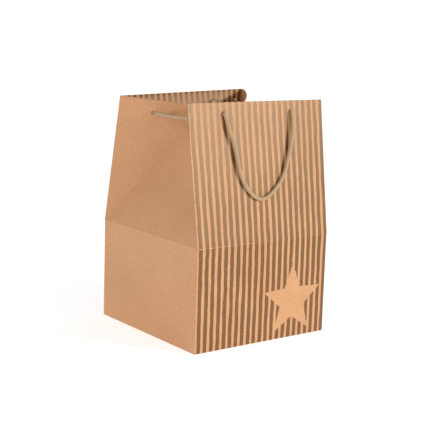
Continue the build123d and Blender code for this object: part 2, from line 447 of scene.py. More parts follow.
# %% [markdown]
# A knot is made at the origin, aimed and moved to its hole with one matrix, and the knots that ride
# together are gathered in one piece. Each is turned about the line through its hole, so that knots side
# by side differ and no tail pokes through the paper.

# %% overhand knots
KNOT_TO_KNOT_TURN = 2.1
HOLE_FROM_MIDDLE = 0.050


def knot_piece(name, places, body, replaces, turn, reach):
    """One piece with a knot at each (hole, way to the hole, distance); reach is how far the cord enters."""
    whole = bmesh.new()
    for hole, way, distance in places:
        bm = bmesh.new()
        route = smooth_line(knot_route(distance + reach), steps=6)
        lay_tube(bm, route, tight_girth, twist=60.0)
        aim = way.to_track_quat("Z", "Y").to_matrix().to_4x4()
        stand = Matrix.Translation(hole - way * distance) @ aim @ Matrix.Rotation(turn, 4, "Z")
        bmesh.ops.transform(bm, matrix=stand, verts=bm.verts)
        scrap = bpy.data.meshes.new("scrap")
        bm.to_mesh(scrap)
        bm.free()
        whole.from_mesh(scrap)
        bpy.data.meshes.remove(scrap)
        turn += KNOT_TO_KNOT_TURN
    return make_piece(name, whole, body, replaces)


HANDLE_HOLES = {"left": HALF_WIDTH - HOLE_FROM_MIDDLE, "right": HALF_WIDTH + HOLE_FROM_MIDDLE}
HANDLE_UP = 0.156
KNOT_BEHIND = {"front": 0.0078, "back": 0.0120}
for side in ("front", "back"):
    for hand, along in HANDLE_HOLES.items():
        hole = on_panel(side, along, HANDLE_UP, 0)
        way = (on_panel(side, along, HANDLE_UP, 1) - hole).normalized()
        bag_hand = hand if side == "front" else {"left": "right", "right": "left"}[hand]
        name = f"{side}_{bag_hand}_handle_knot"
        places = [(hole, way, KNOT_BEHIND[side])]
        knot_piece(name, places, f"{side}_top", [f"{side}_{bag_hand}_knot"], turn=along * 30, reach=0.0005)

TIE_KNOT_BEHIND = 0.0080
TIE_KNOT_TURNS = {"front_left": 0.4, "front_right": 0.4, "back_right": 3.4, "back_left": 0.4}
for corner in FOOT:
    end, side = corner.split("_")
    way = Vector((0, 1 if end == "front" else -1, 0))
    holes = [on_half(corner, inward, up, 0.0005) for inward, up in TIE_HOLES.values()]
    places = [(hole, way, TIE_KNOT_BEHIND) for hole in holes]
    node = f"{side}_gusset_{end}_half"
    name = f"{node}_tie_knots"
    turn = TIE_KNOT_TURNS[corner]
    knot_piece(name, places, f"{side}_{end}_half", [f"{node}_knots"], turn=turn, reach=-0.002)
print("knot pieces", len([name for name in PIECES if "knot" in name]))

# %% [markdown]
# ## Drawing paper flat
# A sheet is easiest to get right while it is flat, just as a bag maker prints, punches and creases it
# before folding. A grid gives enough squares to bend. `bisect_plane` cuts it along creases and trims it
# to shape. A hole is punched by bevelling one vertex into a small diamond, deleting that face, and
# rounding the edges that are left. A trial sheet shows that a crease adds faces, a trim takes them away
# and a punch leaves an open ring.

# %% flat sheets, cuts and holes
def flat_sheet(low, high, step):
    """A flat grid from corner low to corner high, with squares about step wide."""
    columns = max(2, round((high[0] - low[0]) / step))
    rows = max(2, round((high[1] - low[1]) / step))
    bm = bmesh.new()
    bmesh.ops.create_grid(bm, x_segments=columns, y_segments=rows, size=0.5)
    reach_x = max(vertex.co.x for vertex in bm.verts)
    reach_y = max(vertex.co.y for vertex in bm.verts)
    size = ((high[0] - low[0]) / (2 * reach_x), (high[1] - low[1]) / (2 * reach_y), 1)
    bmesh.ops.scale(bm, verts=bm.verts, vec=size)
    middle = ((low[0] + high[0]) / 2, (low[1] + high[1]) / 2, 0)
    bmesh.ops.translate(bm, verts=bm.verts, vec=middle)
    return bm


def crease_at(bm, point, across, trim=False):
    """Cuts the sheet along a line through point; across is the direction it is trimmed towards."""
    parts = bm.verts[:] + bm.edges[:] + bm.faces[:]
    plane = {"plane_co": (*point, 0), "plane_no": (*across, 0), "dist": 1e-6}
    bmesh.ops.bisect_plane(bm, geom=parts, clear_outer=trim, **plane)


def punch(bm, place, radius):
    """A round hole."""
    middle = Vector((*place, 0))
    vertex = min(bm.verts, key=lambda corner: (corner.co - middle).length)
    vertex.co = middle
    bmesh.ops.bevel(
        bm, geom=[vertex], offset=radius, offset_type="OFFSET", segments=1,
        profile=0.5, affect="VERTICES", material=-1,
    )
    diamond = min(bm.faces, key=lambda face: (face.calc_center_median() - middle).length)
    rim = diamond.edges[:]
    bmesh.ops.delete(bm, geom=[diamond], context="FACES_ONLY")
    cut = bmesh.ops.subdivide_edges(bm, edges=rim, cuts=4)["geom_inner"]
    points = {part for part in cut if isinstance(part, bmesh.types.BMVert)}
    for corner in points:
        corner.co = middle + (corner.co - middle).normalized() * radius


trial = flat_sheet((0, 0), (0.1, 0.1), 0.01)
print("trial sheet", len(trial.faces), "faces")
crease_at(trial, (0.033, 0), (1, 0))
print("creased", len(trial.faces), "faces")
crease_at(trial, (0.1, 0), (1, 1), trim=True)
print("trimmed", len(trial.faces), "faces")
punch(trial, (0.03, 0.03), 0.003)
print("punched", len(trial.faces), "faces")
trial.free()

# %% [markdown]
# ## Over the rim
# At the rim the sheet turns through half a circle and comes back down inside as the hem. `over_rim` is
# the rule for that: given how far up the flat paper a point is, it says how far up the panel and how deep
# behind it the point ends. `bend` is the radius of the half circle. A sheet keeps its flat coordinates as
# its UV map, so that a print lies on it as it did before it was folded. Solidify then gives it the
# thickness of paper, inwards.

# %% the hem's turn
RIM_ROWS = 6


def over_rim(up, bend):
    """How far up the panel and how deep behind its face a point of the flat sheet lies."""
    straight = REACH - bend
    if up <= straight:
        return up, 0.0
    turn = (up - straight) / bend
    if turn < math.pi:
        return straight + bend * math.sin(turn), bend * (1 - math.cos(turn))
    return straight - (up - straight - math.pi * bend), 2 * bend


def crease_rim(bm, bend):
    """Adds the rows of edges that let the sheet turn over the rim."""
    for row in range(RIM_ROWS + 1):
        crease_at(bm, (0, REACH - bend + math.pi * bend * row / RIM_ROWS), (0, 1))


def back_up(up, bend):
    """Where on the flat sheet the hem lies behind that height of the panel."""
    return REACH - bend + math.pi * bend + (REACH - bend - up)


def fold_into_place(bm, rule, sheet_left, sheet_up):
    """Writes the flat coordinates to the UV map, then carries every point to its place with the rule."""
    uv_layer = bm.loops.layers.uv.new("paper")
    for face in bm.faces:
        for loop in face.loops:
            loop[uv_layer].uv = (sheet_left + loop.vert.co.x, sheet_up + loop.vert.co.y)
    for vertex in bm.verts:
        vertex.co = rule(vertex.co.x, vertex.co.y)


def give_thickness(piece, thickness, outer, inner):
    """Live modifiers: Solidify grows the sheet inward and gives its back its own finish."""
    piece.data.materials.append(outer)
    piece.data.materials.append(inner)
    wall = piece.modifiers.new("paper thickness", "SOLIDIFY")
    wall.thickness = thickness
    wall.offset = -1
    wall.material_offset = 1
    wall.material_offset_rim = 1
    wall.use_even_offset = False
    shade = piece.modifiers.new("broad faces lead", "WEIGHTED_NORMAL")
    shade.mode = "FACE_AREA"
    shade.weight = 100


print("with a bend of 0.5 mm the hem starts", round(back_up(REACH, 0.0005), 5), "m up the flat sheet")

# %% [markdown]
# ## Node helpers
# A procedural material is a small chain of nodes. These helpers place a node, set its sockets and return
# it, so that the recipe for each finish reads as a list of steps. A socket may be given a value or
# another node's output.

# %% node helpers
def start_material(name):
    """A new material with a Principled shader, and its node tree."""
    material = bpy.data.materials.new(name)
    material.use_nodes = True
    tree = material.node_tree
    tree.nodes.clear()
    shader = tree.nodes.new("ShaderNodeBsdfPrincipled")
    output = tree.nodes.new("ShaderNodeOutputMaterial")
    tree.links.new(shader.outputs["BSDF"], output.inputs["Surface"])
    return material, tree, shader


def feed(tree, socket, value):
    """Puts a value or a link into a socket."""
    if isinstance(value, bpy.types.NodeSocket):
        tree.links.new(value, socket)
    else:
        socket.default_value = value


def maths(tree, operation, *values):
    """A Math node."""
    node = tree.nodes.new("ShaderNodeMath")
    node.operation = operation
    for socket, value in zip(node.inputs, values):
        feed(tree, socket, value)
    return node.outputs[0]


def ramp(tree, value, low, high, to_low=0.0, to_high=1.0):
    """A Map Range node: value from low..high to to_low..to_high, clamped."""
    node = tree.nodes.new("ShaderNodeMapRange")
    for socket, given in zip(node.inputs, (value, low, high, to_low, to_high)):
        feed(tree, socket, given)
    return node.outputs[0]


def blend_colours(tree, share, first, second):
    """A Mix node for colours."""
    node = tree.nodes.new("ShaderNodeMix")
    node.data_type = "RGBA"
    feed(tree, node.inputs["Factor"], share)
    feed(tree, node.inputs[6], first)
    feed(tree, node.inputs[7], second)
    return node.outputs[2]


print("helpers for Math, Map Range and Mix nodes are ready")

# %% [markdown]
# Three more helpers: `grain` is noise, read on coordinates that a Mapping node may stretch, `bump` turns
# a pattern into small heights, and `srgb` changes a colour as a screen shows it into the linear colour
# that light works with.

# %% noise, bump and colour
def grain(tree, where, scale, detail=2.0, stretch=(1, 1, 1), roughness=0.55):
    """Noise on the given coordinates, stretched by a Mapping node."""
    mapping = tree.nodes.new("ShaderNodeMapping")
    mapping.inputs["Scale"].default_value = stretch
    tree.links.new(where, mapping.inputs["Vector"])
    node = tree.nodes.new("ShaderNodeTexNoise")
    node.inputs["Scale"].default_value = scale
    node.inputs["Detail"].default_value = detail
    node.inputs["Roughness"].default_value = roughness
    tree.links.new(mapping.outputs[0], node.inputs["Vector"])
    return node.outputs["Fac"]


def bump(tree, shader, height, distance, strength):
    """A Bump node on the shader's normal."""
    node = tree.nodes.new("ShaderNodeBump")
    node.inputs["Strength"].default_value = strength
    node.inputs["Distance"].default_value = distance
    tree.links.new(height, node.inputs["Height"])
    tree.links.new(node.outputs[0], shader.inputs["Normal"])


def srgb(red, green, blue):
    """An 8-bit screen colour as the linear colour that shaders use."""
    linear = []
    for channel in (red, green, blue):
        part = channel / 255
        linear.append(part / 12.92 if part <= 0.04045 else ((part + 0.055) / 1.055) ** 2.4)
    return (*linear, 1.0)


print("mid grey as a linear colour", tuple(round(x, 3) for x in srgb(128, 128, 128)))

# %% [markdown]
# ## Kraft paper
# Kraft paper is unbleached pulp: a warm tan with soft clouds, fine fibres lying with the sheet, a few
# dark and pale flecks, and a dull surface. Four noises of different sizes make its colour: clouds,
# patches, fibres and flecks.

# %% kraft recipe
KRAFT_PALE = srgb(216, 165, 121)
KRAFT_DEEP = srgb(183, 131, 92)
DARK_FLECK = srgb(150, 104, 66)
PALE_FLECK = srgb(236, 198, 156)


def kraft_colour(tree, where):
    """The colour of bare kraft, the height of its fibres and its patches."""
    clouds = grain(tree, where, 14, 3)
    patches = grain(tree, where, 300, 4, roughness=0.65)
    fibres = grain(tree, where, 900, 4, (1, 0.28, 1), 0.7)
    flecks = grain(tree, where, 1100, 1, (0.6, 1, 1))
    cloud_share = ramp(tree, clouds, 0.35, 0.65)
    patch_share = ramp(tree, patches, 0.3, 0.7)
    fibre_share = ramp(tree, fibres, 0.25, 0.75)
    share = maths(tree, "MULTIPLY", cloud_share, 0.20)
    share = maths(tree, "MULTIPLY_ADD", patch_share, 0.44, share)
    share = maths(tree, "MULTIPLY_ADD", fibre_share, 0.36, share)
    colour = blend_colours(tree, share, KRAFT_DEEP, KRAFT_PALE)
    dark = ramp(tree, flecks, 0.70, 0.76, 0, 0.35)
    colour = blend_colours(tree, dark, colour, DARK_FLECK)
    pale = ramp(tree, flecks, 0.30, 0.24, 0, 0.30)
    colour = blend_colours(tree, pale, colour, PALE_FLECK)
    return colour, fibre_share, patch_share


print("deepest kraft, as a linear colour", tuple(round(x, 3) for x in KRAFT_DEEP))

# %% [markdown]
# A pattern on paper has to lie on the sheet, so a folded piece reads its UV map, which is in metres of
# flat paper. A flat piece that comes from the CAD model has no such map and reads its own Object
# coordinates. A small bump lets the fibres catch light. A crease is paler than the paper, because its
# fibres are broken: a thin uneven line marks it.

# %% kraft finishes
CREASE_WIDTH = 0.0010
PALE_CREASE = srgb(238, 198, 160)


def paper_position(tree):
    """The flat sheet's own coordinates, from the UV map, and its two parts."""
    node = tree.nodes.new("ShaderNodeUVMap")
    node.uv_map = "paper"
    parts = tree.nodes.new("ShaderNodeSeparateXYZ")
    tree.links.new(node.outputs[0], parts.inputs[0])
    return node.outputs[0], parts.outputs[0], parts.outputs[1]


def object_position(tree):
    """The piece's own coordinates in metres."""
    return tree.nodes.new("ShaderNodeTexCoord").outputs["Object"]


def crease_line(tree, distance, width, where, breaks=160, strength=0.8):
    """A thin uneven line where a distance in metres is near zero."""
    near = ramp(tree, maths(tree, "ABSOLUTE", distance), width, width * 0.25)
    broken = ramp(tree, grain(tree, where, breaks, 3), 0.42, 0.62, 0.15, 1.0)
    return maths(tree, "MULTIPLY", maths(tree, "MULTIPLY", near, broken), strength)


def kraft_material(name, on_sheet, creases=()):
    """Kraft paper. creases are (u, v, direction u, direction v) lines on the flat sheet."""
    material, tree, shader = start_material(name)
    if on_sheet:
        where, u, v = paper_position(tree)
    else:
        where = object_position(tree)
    colour, fibres, patches = kraft_colour(tree, where)
    for at_u, at_v, way_u, way_v in creases:
        length = math.hypot(way_u, way_v)
        across_u, across_v = -way_v / length, way_u / length
        offset = -(at_u * across_u + at_v * across_v)
        distance = maths(tree, "MULTIPLY_ADD", u, across_u, offset)
        distance = maths(tree, "MULTIPLY_ADD", v, across_v, distance)
        line = crease_line(tree, distance, CREASE_WIDTH, where, strength=0.28)
        colour = blend_colours(tree, line, colour, PALE_CREASE)
    tree.links.new(colour, shader.inputs["Base Color"])
    tree.links.new(ramp(tree, patches, 0, 1, 0.62, 0.74), shader.inputs["Roughness"])
    shader.inputs["Specular IOR Level"].default_value = 0.35
    bump(tree, shader, fibres, 0.00006, 0.6)
    return material


FRONT_START = 0.0
RIGHT_START = WIDTH
BACK_START = WIDTH + DEPTH
LEFT_START = 2 * WIDTH + DEPTH
gusset_creases = []
for start in (LEFT_START, RIGHT_START):
    gusset_creases.append((start, CREASE, HALF_DEPTH, REACH))
    gusset_creases.append((start + DEPTH, CREASE, -HALF_DEPTH, REACH))
gusset_creases.append((0, CREASE, 1, 0))
kraft_outside = kraft_material("kraft outside", True, gusset_creases)
kraft_inside = kraft_material("kraft inside", True)
kraft_plain = kraft_material("kraft plain", False)
print("finishes", [material.name for material in (kraft_outside, kraft_inside, kraft_plain)])

# %% [markdown]
# ## The print
# The front and back are printed with upright brown stripes that look brushed by hand. The sheet's width
# is divided into equal cells, with a stripe in each. A stripe's middle wanders, and its width swells and
# shrinks, because two noises are read at that cell's own place. The second is read far away from the
# first, so that the two have nothing in common. Wander and widths are shares of a cell.

# %% stripes
PITCH = WIDTH / 21.84
FIRST_STRIPE = 0.00036
STRIPE_WANDER = 0.09
STRIPE_HALF_WIDTHS = (0.245, 0.352)


def stripe_mask(tree, u, v):
    """1 on a printed stripe, 0 between stripes."""
    cells = maths(tree, "DIVIDE", maths(tree, "ADD", u, -FIRST_STRIPE), PITCH)
    cell = maths(tree, "FLOOR", cells)
    inside = maths(tree, "SUBTRACT", cells, cell)
    seat = tree.nodes.new("ShaderNodeCombineXYZ")
    tree.links.new(maths(tree, "MULTIPLY", cell, 7.31), seat.inputs[0])
    tree.links.new(maths(tree, "MULTIPLY", v, 26.0), seat.inputs[1])
    far_seat = tree.nodes.new("ShaderNodeVectorMath")
    far_seat.operation = "ADD"
    far_seat.inputs[1].default_value = (31.7, 5.3, 11.9)
    tree.links.new(seat.outputs[0], far_seat.inputs[0])
    near_grain = grain(tree, seat.outputs[0], 1.0, 3, roughness=0.6)
    far_grain = grain(tree, far_seat.outputs[0], 1.0, 4, roughness=0.65)
    sway = ramp(tree, near_grain, 0.2, 0.8, -STRIPE_WANDER, STRIPE_WANDER)
    half_width = ramp(tree, far_grain, 0.2, 0.8, *STRIPE_HALF_WIDTHS)
    from_middle = maths(tree, "ABSOLUTE", maths(tree, "ADD", maths(tree, "ADD", inside, -0.5), sway))
    edge = maths(tree, "SUBTRACT", half_width, from_middle)
    return ramp(tree, edge, -0.012, 0.018)


print("stripe pitch", round(PITCH * 1000, 2), "mm")

# %% [markdown]
# A star low on the right is left bare. It is a mask with five equal points: the angle about its centre is
# folded into one tenth of a turn, and there a single slanting line, from tip to notch, is the whole
# outline. A little noise makes that line as rough as a printed edge.

# %% the star
STAR_CENTRE = (0.1460, 0.0467)
STAR_TIP = 0.0470
STAR_NOTCH = 0.0203
STAR_ROUGHNESS = 0.0007


def star_mask(tree, where, u, v):
    """1 inside the star."""
    rough_edge = ramp(tree, grain(tree, where, 220, 2), 0.2, 0.8, -STAR_ROUGHNESS, STAR_ROUGHNESS)
    x = maths(tree, "ADD", u, -STAR_CENTRE[0])
    y = maths(tree, "ADD", v, -STAR_CENTRE[1])
    angle = maths(tree, "ARCTAN2", x, y)
    square = maths(tree, "ADD", maths(tree, "MULTIPLY", x, x), maths(tree, "MULTIPLY", y, y))
    reach = maths(tree, "SQRT", square)
    turns = maths(tree, "MULTIPLY_ADD", angle, 5 / math.tau, 5.5)
    folded = maths(tree, "ABSOLUTE", maths(tree, "ADD", maths(tree, "FRACT", turns), -0.5))
    folded = maths(tree, "MULTIPLY", folded, math.tau / 5)
    across = maths(tree, "MULTIPLY", reach, maths(tree, "SINE", folded))
    out = maths(tree, "MULTIPLY", reach, maths(tree, "COSINE", folded))
    notch = (STAR_NOTCH * math.cos(math.pi / 5), STAR_NOTCH * math.sin(math.pi / 5))
    edge_out, edge_across = notch[0] - STAR_TIP, notch[1]
    length = math.hypot(edge_out, edge_across)
    line = maths(tree, "MULTIPLY", maths(tree, "ADD", out, -STAR_TIP), -edge_across / length)
    line = maths(tree, "MULTIPLY_ADD", across, edge_out / length, line)
    line = maths(tree, "ADD", line, rough_edge)
    return ramp(tree, line, -0.0001, 0.0001)


print("star from", round(STAR_CENTRE[1] - STAR_TIP, 4), "to", round(STAR_CENTRE[1] + STAR_TIP, 4), "m up")

# %% [markdown]
# The back of the bag carries the same artwork as the front, so the sheet's second printed face is moved
# back over the first before the masks are read. Past the rim, on the hem, the stripes run a little
# aslant. Ink is glossier than paper and covers it unevenly, so it is speckled. What the printed paper
# reflects is tinted warm. Along the level crease and each printed face's right upright fold the ink has
# rubbed off in thin pale lines. The pale line up each face's left upright fold, above the crease, is a
# painted highlight where the fold catches the light.

# %% printed paper
INK_DEEP = srgb(80, 49, 22)
INK_PALE = srgb(98, 63, 31)
WORN_AND_HIGHLIGHT_PALE = srgb(236, 196, 158)
GLOSS_TINT = (1.0, 0.75, 0.48, 1)
HEM_SLANT = 0.06


def printed_material(name):
    """Kraft paper with printed stripes and a bare star."""
    material, tree, shader = start_material(name)
    where, u, v = paper_position(tree)
    colour, fibres, patches = kraft_colour(tree, where)
    on_back = maths(tree, "GREATER_THAN", u, WIDTH + DEPTH * 0.5)
    face_u = maths(tree, "MULTIPLY_ADD", on_back, -BACK_START, u)
    past_rim = maths(tree, "MAXIMUM", maths(tree, "ADD", v, -(CREASE + REACH)), 0.0)
    stripes = stripe_mask(tree, maths(tree, "MULTIPLY_ADD", past_rim, HEM_SLANT, face_u), v)
    star = star_mask(tree, where, face_u, v)
    ink = maths(tree, "MULTIPLY", stripes, maths(tree, "SUBTRACT", 1.0, star))
    speckle = ramp(tree, grain(tree, where, 650, 4, roughness=0.75), 0.32, 0.62, 0.66, 1.0)
    ink = maths(tree, "MULTIPLY", ink, speckle)
    worn_and_highlight = crease_line(tree, maths(tree, "ADD", v, -CREASE), 0.00055, where, 120, 0.75)
    worn_left = ramp(tree, face_u, 0.13, 0.02, 0.15, 1.0)
    worn_and_highlight = maths(tree, "MULTIPLY", worn_and_highlight, worn_left)
    # painted highlight: a pale line up each printed face's left upright fold, above the crease, where the
    # fold catches the light
    painted_edge_highlight = crease_line(tree, face_u, 0.0012, where, 90, 0.9)
    painted_edge_highlight = maths(tree, "MULTIPLY", painted_edge_highlight, ramp(tree, v, CREASE, CREASE + 0.006, 0.12, 1.0))
    worn_and_highlight = maths(tree, "MAXIMUM", worn_and_highlight, painted_edge_highlight)
    far_line = crease_line(tree, maths(tree, "ADD", face_u, -WIDTH), 0.0009, where, 90, 0.6)
    worn_and_highlight = maths(tree, "MAXIMUM", worn_and_highlight, far_line)
    tone = ramp(tree, grain(tree, where, 700, 3, roughness=0.7), 0.3, 0.7)
    ink_colour = blend_colours(tree, tone, INK_DEEP, INK_PALE)
    colour = blend_colours(tree, ink, colour, ink_colour)
    # pale lines of rubbed ink along the level crease and the right fold, plus the painted highlight on the
    # left fold
    colour = blend_colours(tree, worn_and_highlight, colour, WORN_AND_HIGHLIGHT_PALE)
    tree.links.new(colour, shader.inputs["Base Color"])
    paper_roughness = ramp(tree, patches, 0, 1, 0.56, 0.66)
    ink_roughness = ramp(tree, tone, 0, 1, 0.29, 0.37)
    mixed = ramp(tree, ink, 0, 1, paper_roughness, ink_roughness)
    tree.links.new(mixed, shader.inputs["Roughness"])
    shader.inputs["Specular IOR Level"].default_value = 0.5
    shader.inputs["Specular Tint"].default_value = GLOSS_TINT
    bump(tree, shader, fibres, 0.00005, 0.5)
    return material


printed_outside = printed_material("printed paper")
print(printed_outside.name, "has", len(printed_outside.node_tree.nodes), "nodes")

# %% [markdown]
# ## The cord's finish
# The cord is a dull khaki yarn with small stitches on its surface. Two sets of slanting waves cross on
# its UV map and give the stitches, and a fine noise roughens them. A little sheen stands for the loose
# fibres.

# %% cord finish
STITCH = 0.0030
STITCHES_ROUND = 6
YARN_DEEP = srgb(134, 106, 70)
YARN_PALE = srgb(220, 189, 146)


def cord_material():
    """Dull khaki yarn with small crossing stitches."""
    material, tree, shader = start_material("khaki cord")
    where, around, along = paper_position(tree)
    solid = object_position(tree)
    turned = maths(tree, "MULTIPLY", around, math.tau * STITCHES_ROUND)
    turned_back = maths(tree, "MULTIPLY", around, -math.tau * STITCHES_ROUND)
    rising = maths(tree, "MULTIPLY_ADD", along, math.tau / STITCH, turned)
    falling = maths(tree, "MULTIPLY_ADD", along, math.tau / STITCH, turned_back)
    stitches = maths(tree, "MAXIMUM", maths(tree, "SINE", rising), maths(tree, "SINE", falling))
    stitches = ramp(tree, stitches, -0.6, 1.0)
    fuzz = grain(tree, solid, 2600, 3, roughness=0.7)
    fuzz_share = ramp(tree, fuzz, 0.3, 0.7)
    share = maths(tree, "MULTIPLY_ADD", fuzz_share, 0.45, maths(tree, "MULTIPLY", stitches, 0.55))
    colour = blend_colours(tree, share, YARN_DEEP, YARN_PALE)
    tree.links.new(colour, shader.inputs["Base Color"])
    shader.inputs["Roughness"].default_value = 0.85
    shader.inputs["Specular IOR Level"].default_value = 0.25
    shader.inputs["Sheen Weight"].default_value = 0.25
    shader.inputs["Sheen Roughness"].default_value = 0.5
    bump(tree, shader, share, 0.0006, 0.9)
    return material


khaki_cord = cord_material()
for piece in PIECES.values():
    piece.data.materials.append(khaki_cord)
print(khaki_cord.name, "on", len(PIECES), "pieces")

# %% [markdown]
# ## Grey board
# The board in the bottom and the card in the rim are grey pulp: speckled, soft and flat. Two noises mix
# its greys and a third scatters dark flecks.

# %% board finish
BOARD_DEEP = srgb(150, 143, 132)
BOARD_PALE = srgb(186, 180, 168)
BOARD_FLECK = srgb(108, 100, 90)


def board_material():
    """Speckled grey pulp board."""
    material, tree, shader = start_material("grey board")
    where = object_position(tree)
    soft = ramp(tree, grain(tree, where, 60, 4), 0.3, 0.7)
    fine = ramp(tree, grain(tree, where, 1400, 3, roughness=0.7), 0.3, 0.7)
    share = maths(tree, "MULTIPLY_ADD", fine, 0.6, maths(tree, "MULTIPLY", soft, 0.4))
    colour = blend_colours(tree, share, BOARD_DEEP, BOARD_PALE)
    flecks = ramp(tree, grain(tree, where, 900, 1), 0.68, 0.74, 0, 0.6)
    colour = blend_colours(tree, flecks, colour, BOARD_FLECK)
    tree.links.new(colour, shader.inputs["Base Color"])
    tree.links.new(ramp(tree, soft, 0, 1, 0.78, 0.9), shader.inputs["Roughness"])
    shader.inputs["Specular IOR Level"].default_value = 0.25
    bump(tree, shader, fine, 0.00008, 0.6)
    return material


grey_board = board_material()
print(grey_board.name, "has", len(grey_board.node_tree.nodes), "nodes")

# %% [markdown]
# ## The walls of the box
# The four walls are one strip of paper bent round four corners. A strip of squares is drawn flat and
# wrapped by a rule: a point's distance along the strip says which wall it is on, and close to a corner it
# follows a small quarter circle. The walls belly out by about a millimetre between their creases, as
# paper does. The front and back are printed, and the sides are bare. Solidify gives the back of each face
# the next finish in the list, so the list goes printed, inside, bare, inside.

# %% wall strip
CORNER_BEND = 0.0009
BELLY = [0.0008, 0.0012, 0.0008, 0.0008]
WALL_STARTS = [FRONT_START, RIGHT_START, BACK_START, LEFT_START, LEFT_START + DEPTH]
WALL_CORNERS = ["front_left", "front_right", "back_right", "back_left"]
WALL_WAYS = [Vector((1, 0, 0)), Vector((0, 1, 0)), Vector((-1, 0, 0)), Vector((0, -1, 0))]


def on_wall(along, up):
    """A point of the wall strip: metres along it from the front left corner, and up from the floor."""
    wall = max(i for i in range(4) if along >= WALL_STARTS[i] - 1e-7)
    span = WALL_STARTS[wall + 1] - WALL_STARTS[wall]
    from_start, to_end = along - WALL_STARTS[wall], WALL_STARTS[wall + 1] - along
    way = WALL_WAYS[wall]
    outward = way.cross(Vector((0, 0, 1)))
    corner = FOOT[WALL_CORNERS[wall]].copy()
    corner.z = up
    nearest = min(from_start, to_end)
    if nearest < CORNER_BEND:
        turn = math.radians(45) * (1 - nearest / CORNER_BEND)
        hand = -1 if from_start < to_end else 1
        base = CORNER_BEND if hand < 0 else span - CORNER_BEND
        centre = corner + way * base - outward * CORNER_BEND
        return centre + (outward * math.cos(turn) + way * hand * math.sin(turn)) * CORNER_BEND
    rise = math.sin(math.pi * min(max(up / CREASE, 0), 1))
    belly = BELLY[wall] * rise * 4 * from_start * to_end / span ** 2
    return corner + way * from_start + outward * belly


bm = flat_sheet((0, 0), (2 * WIDTH + 2 * DEPTH, CREASE), 0.009)
for start in WALL_STARTS:
    for part in (-1, -0.5, 0, 0.5, 1):
        crease_at(bm, (start + CORNER_BEND * part, 0), (1, 0))
for face in bm.faces:
    middle_u = face.calc_center_median().x
    printed = middle_u < RIGHT_START or BACK_START < middle_u < LEFT_START
    face.material_index = 0 if printed else 2
fold_into_place(bm, on_wall, 0, 0)
bmesh.ops.remove_doubles(bm, verts=bm.verts, dist=1e-5)
walls = make_piece(
    "box_wall_sheet", bm, "lower_box",
    ["front_lower_panel", "back_lower_panel", "left_lower_gusset", "right_lower_gusset"],
)
give_thickness(walls, PAPER, printed_outside, kraft_inside)
walls.data.materials.append(kraft_outside)
walls.data.materials.append(kraft_inside)
print("wall strip faces", len(walls.data.polygons))

# %% [markdown]
# ## The front and back panels of the mouth
# Each leaning panel and its hem are one sheet. It is drawn flat, the rows at the rim are added, and the
# two handle holes are punched through panel and hem alike. Then it is folded into place. The hem is drawn
# in a little at its sides, to clear the side folds, and springs away from the panel towards its lower
# edge. The card that stiffens the rim lies between the two layers and is made the same way, as a thicker
# sheet.

# %% leaning panels
PANEL_BEND = 0.000675
HANDLE_HOLE = 0.0029
CARD_HOLE = 0.0045
CARD_MARGIN = 0.012
CARD_UP = (0.1405, 0.1685)
CARD_THICKNESS = 0.0006
SECOND_LAYER = 0.00036
HEM_INSET = 0.0014
HEM_EASE = 0.026
PANEL_BELLY = 0.0005
HEM_SPRING = {"front": 0.03, "back": 0.30}


def panel_rule(name, bend, extra_depth=0.0):
    """The rule that carries a panel's flat sheet to its place; a bend of 0 means a sheet without a hem."""
    def rule(along, up):
        height, depth = over_rim(up, bend) if bend else (up, 0.0)
        share = min(max(along / WIDTH, 0), 1)
        rise = min(max(height / (REACH - HEM), 0), 1)
        belly = PANEL_BELLY * math.sin(math.pi * share) * math.sin(math.pi * rise) ** 2
        if bend and up > REACH:
            along += HEM_INSET * (1 - 2 * share) * min((up - REACH) / 0.004, 1)
            from_side = min(max(min(along, WIDTH - along) / HEM_EASE, 0), 1)
            ease = from_side * from_side * (3 - 2 * from_side)
            depth += HEM_SPRING[name] * ease * max(REACH - 0.002 - height, 0)
        return on_panel(name, along, height, belly - depth - extra_depth)
    return rule


for name, sheet_left in (("front", FRONT_START), ("back", BACK_START)):
    top = back_up(REACH - HEM, PANEL_BEND)
    bm = flat_sheet((0, 0), (WIDTH, top), 0.0082)
    crease_rim(bm, PANEL_BEND)
    for along in HANDLE_HOLES.values():
        punch(bm, (along, HANDLE_UP), HANDLE_HOLE)
        punch(bm, (along, back_up(HANDLE_UP, PANEL_BEND)), HANDLE_HOLE)
    fold_into_place(bm, panel_rule(name, PANEL_BEND), sheet_left, CREASE)
    nodes = [f"{name}_top_panel", f"{name}_hem"]
    sheet = make_piece(f"{name}_mouth_sheet", bm, f"{name}_top", nodes)
    give_thickness(sheet, PAPER, printed_outside, kraft_inside)
    bm = flat_sheet((CARD_MARGIN, CARD_UP[0]), (WIDTH - CARD_MARGIN, CARD_UP[1]), 0.008)
    for along in HANDLE_HOLES.values():
        punch(bm, (along, HANDLE_UP), CARD_HOLE)
    fold_into_place(bm, panel_rule(name, 0, SECOND_LAYER), 0, 0)
    card = make_piece(f"{name}_rim_card", bm, f"{name}_top", [f"{name}_card"], smooth=False)
    give_thickness(card, CARD_THICKNESS, grey_board, grey_board)
print("panel sheets", [name for name in PIECES if "mouth_sheet" in name])

# %% [markdown]
# The bag's one glued seam is inside the back wall, where the sheet's two ends overlap. Below the crease
# the CAD flap is already right. Above it, the flap follows the back panel, so it is a narrow strip folded
# by the panel's own rule.

# %% upper seam flap
FLAP_GAP = 0.002
flap_low, flap_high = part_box("upper_seam_flap")
flap_left = HALF_WIDTH - flap_high.x
flap_right = HALF_WIDTH - flap_low.x
bm = flat_sheet((flap_left, FLAP_GAP), (flap_right, REACH - HEM - FLAP_GAP), 0.007)
fold_into_place(bm, panel_rule("back", 0, SECOND_LAYER), BACK_START, CREASE)
flap = make_piece("upper_seam_strip", bm, "back_top", ["upper_seam_flap"])
give_thickness(flap, PAPER, kraft_inside, kraft_inside)
print("seam strip from", round(flap_left, 4), "to", round(flap_right, 4))
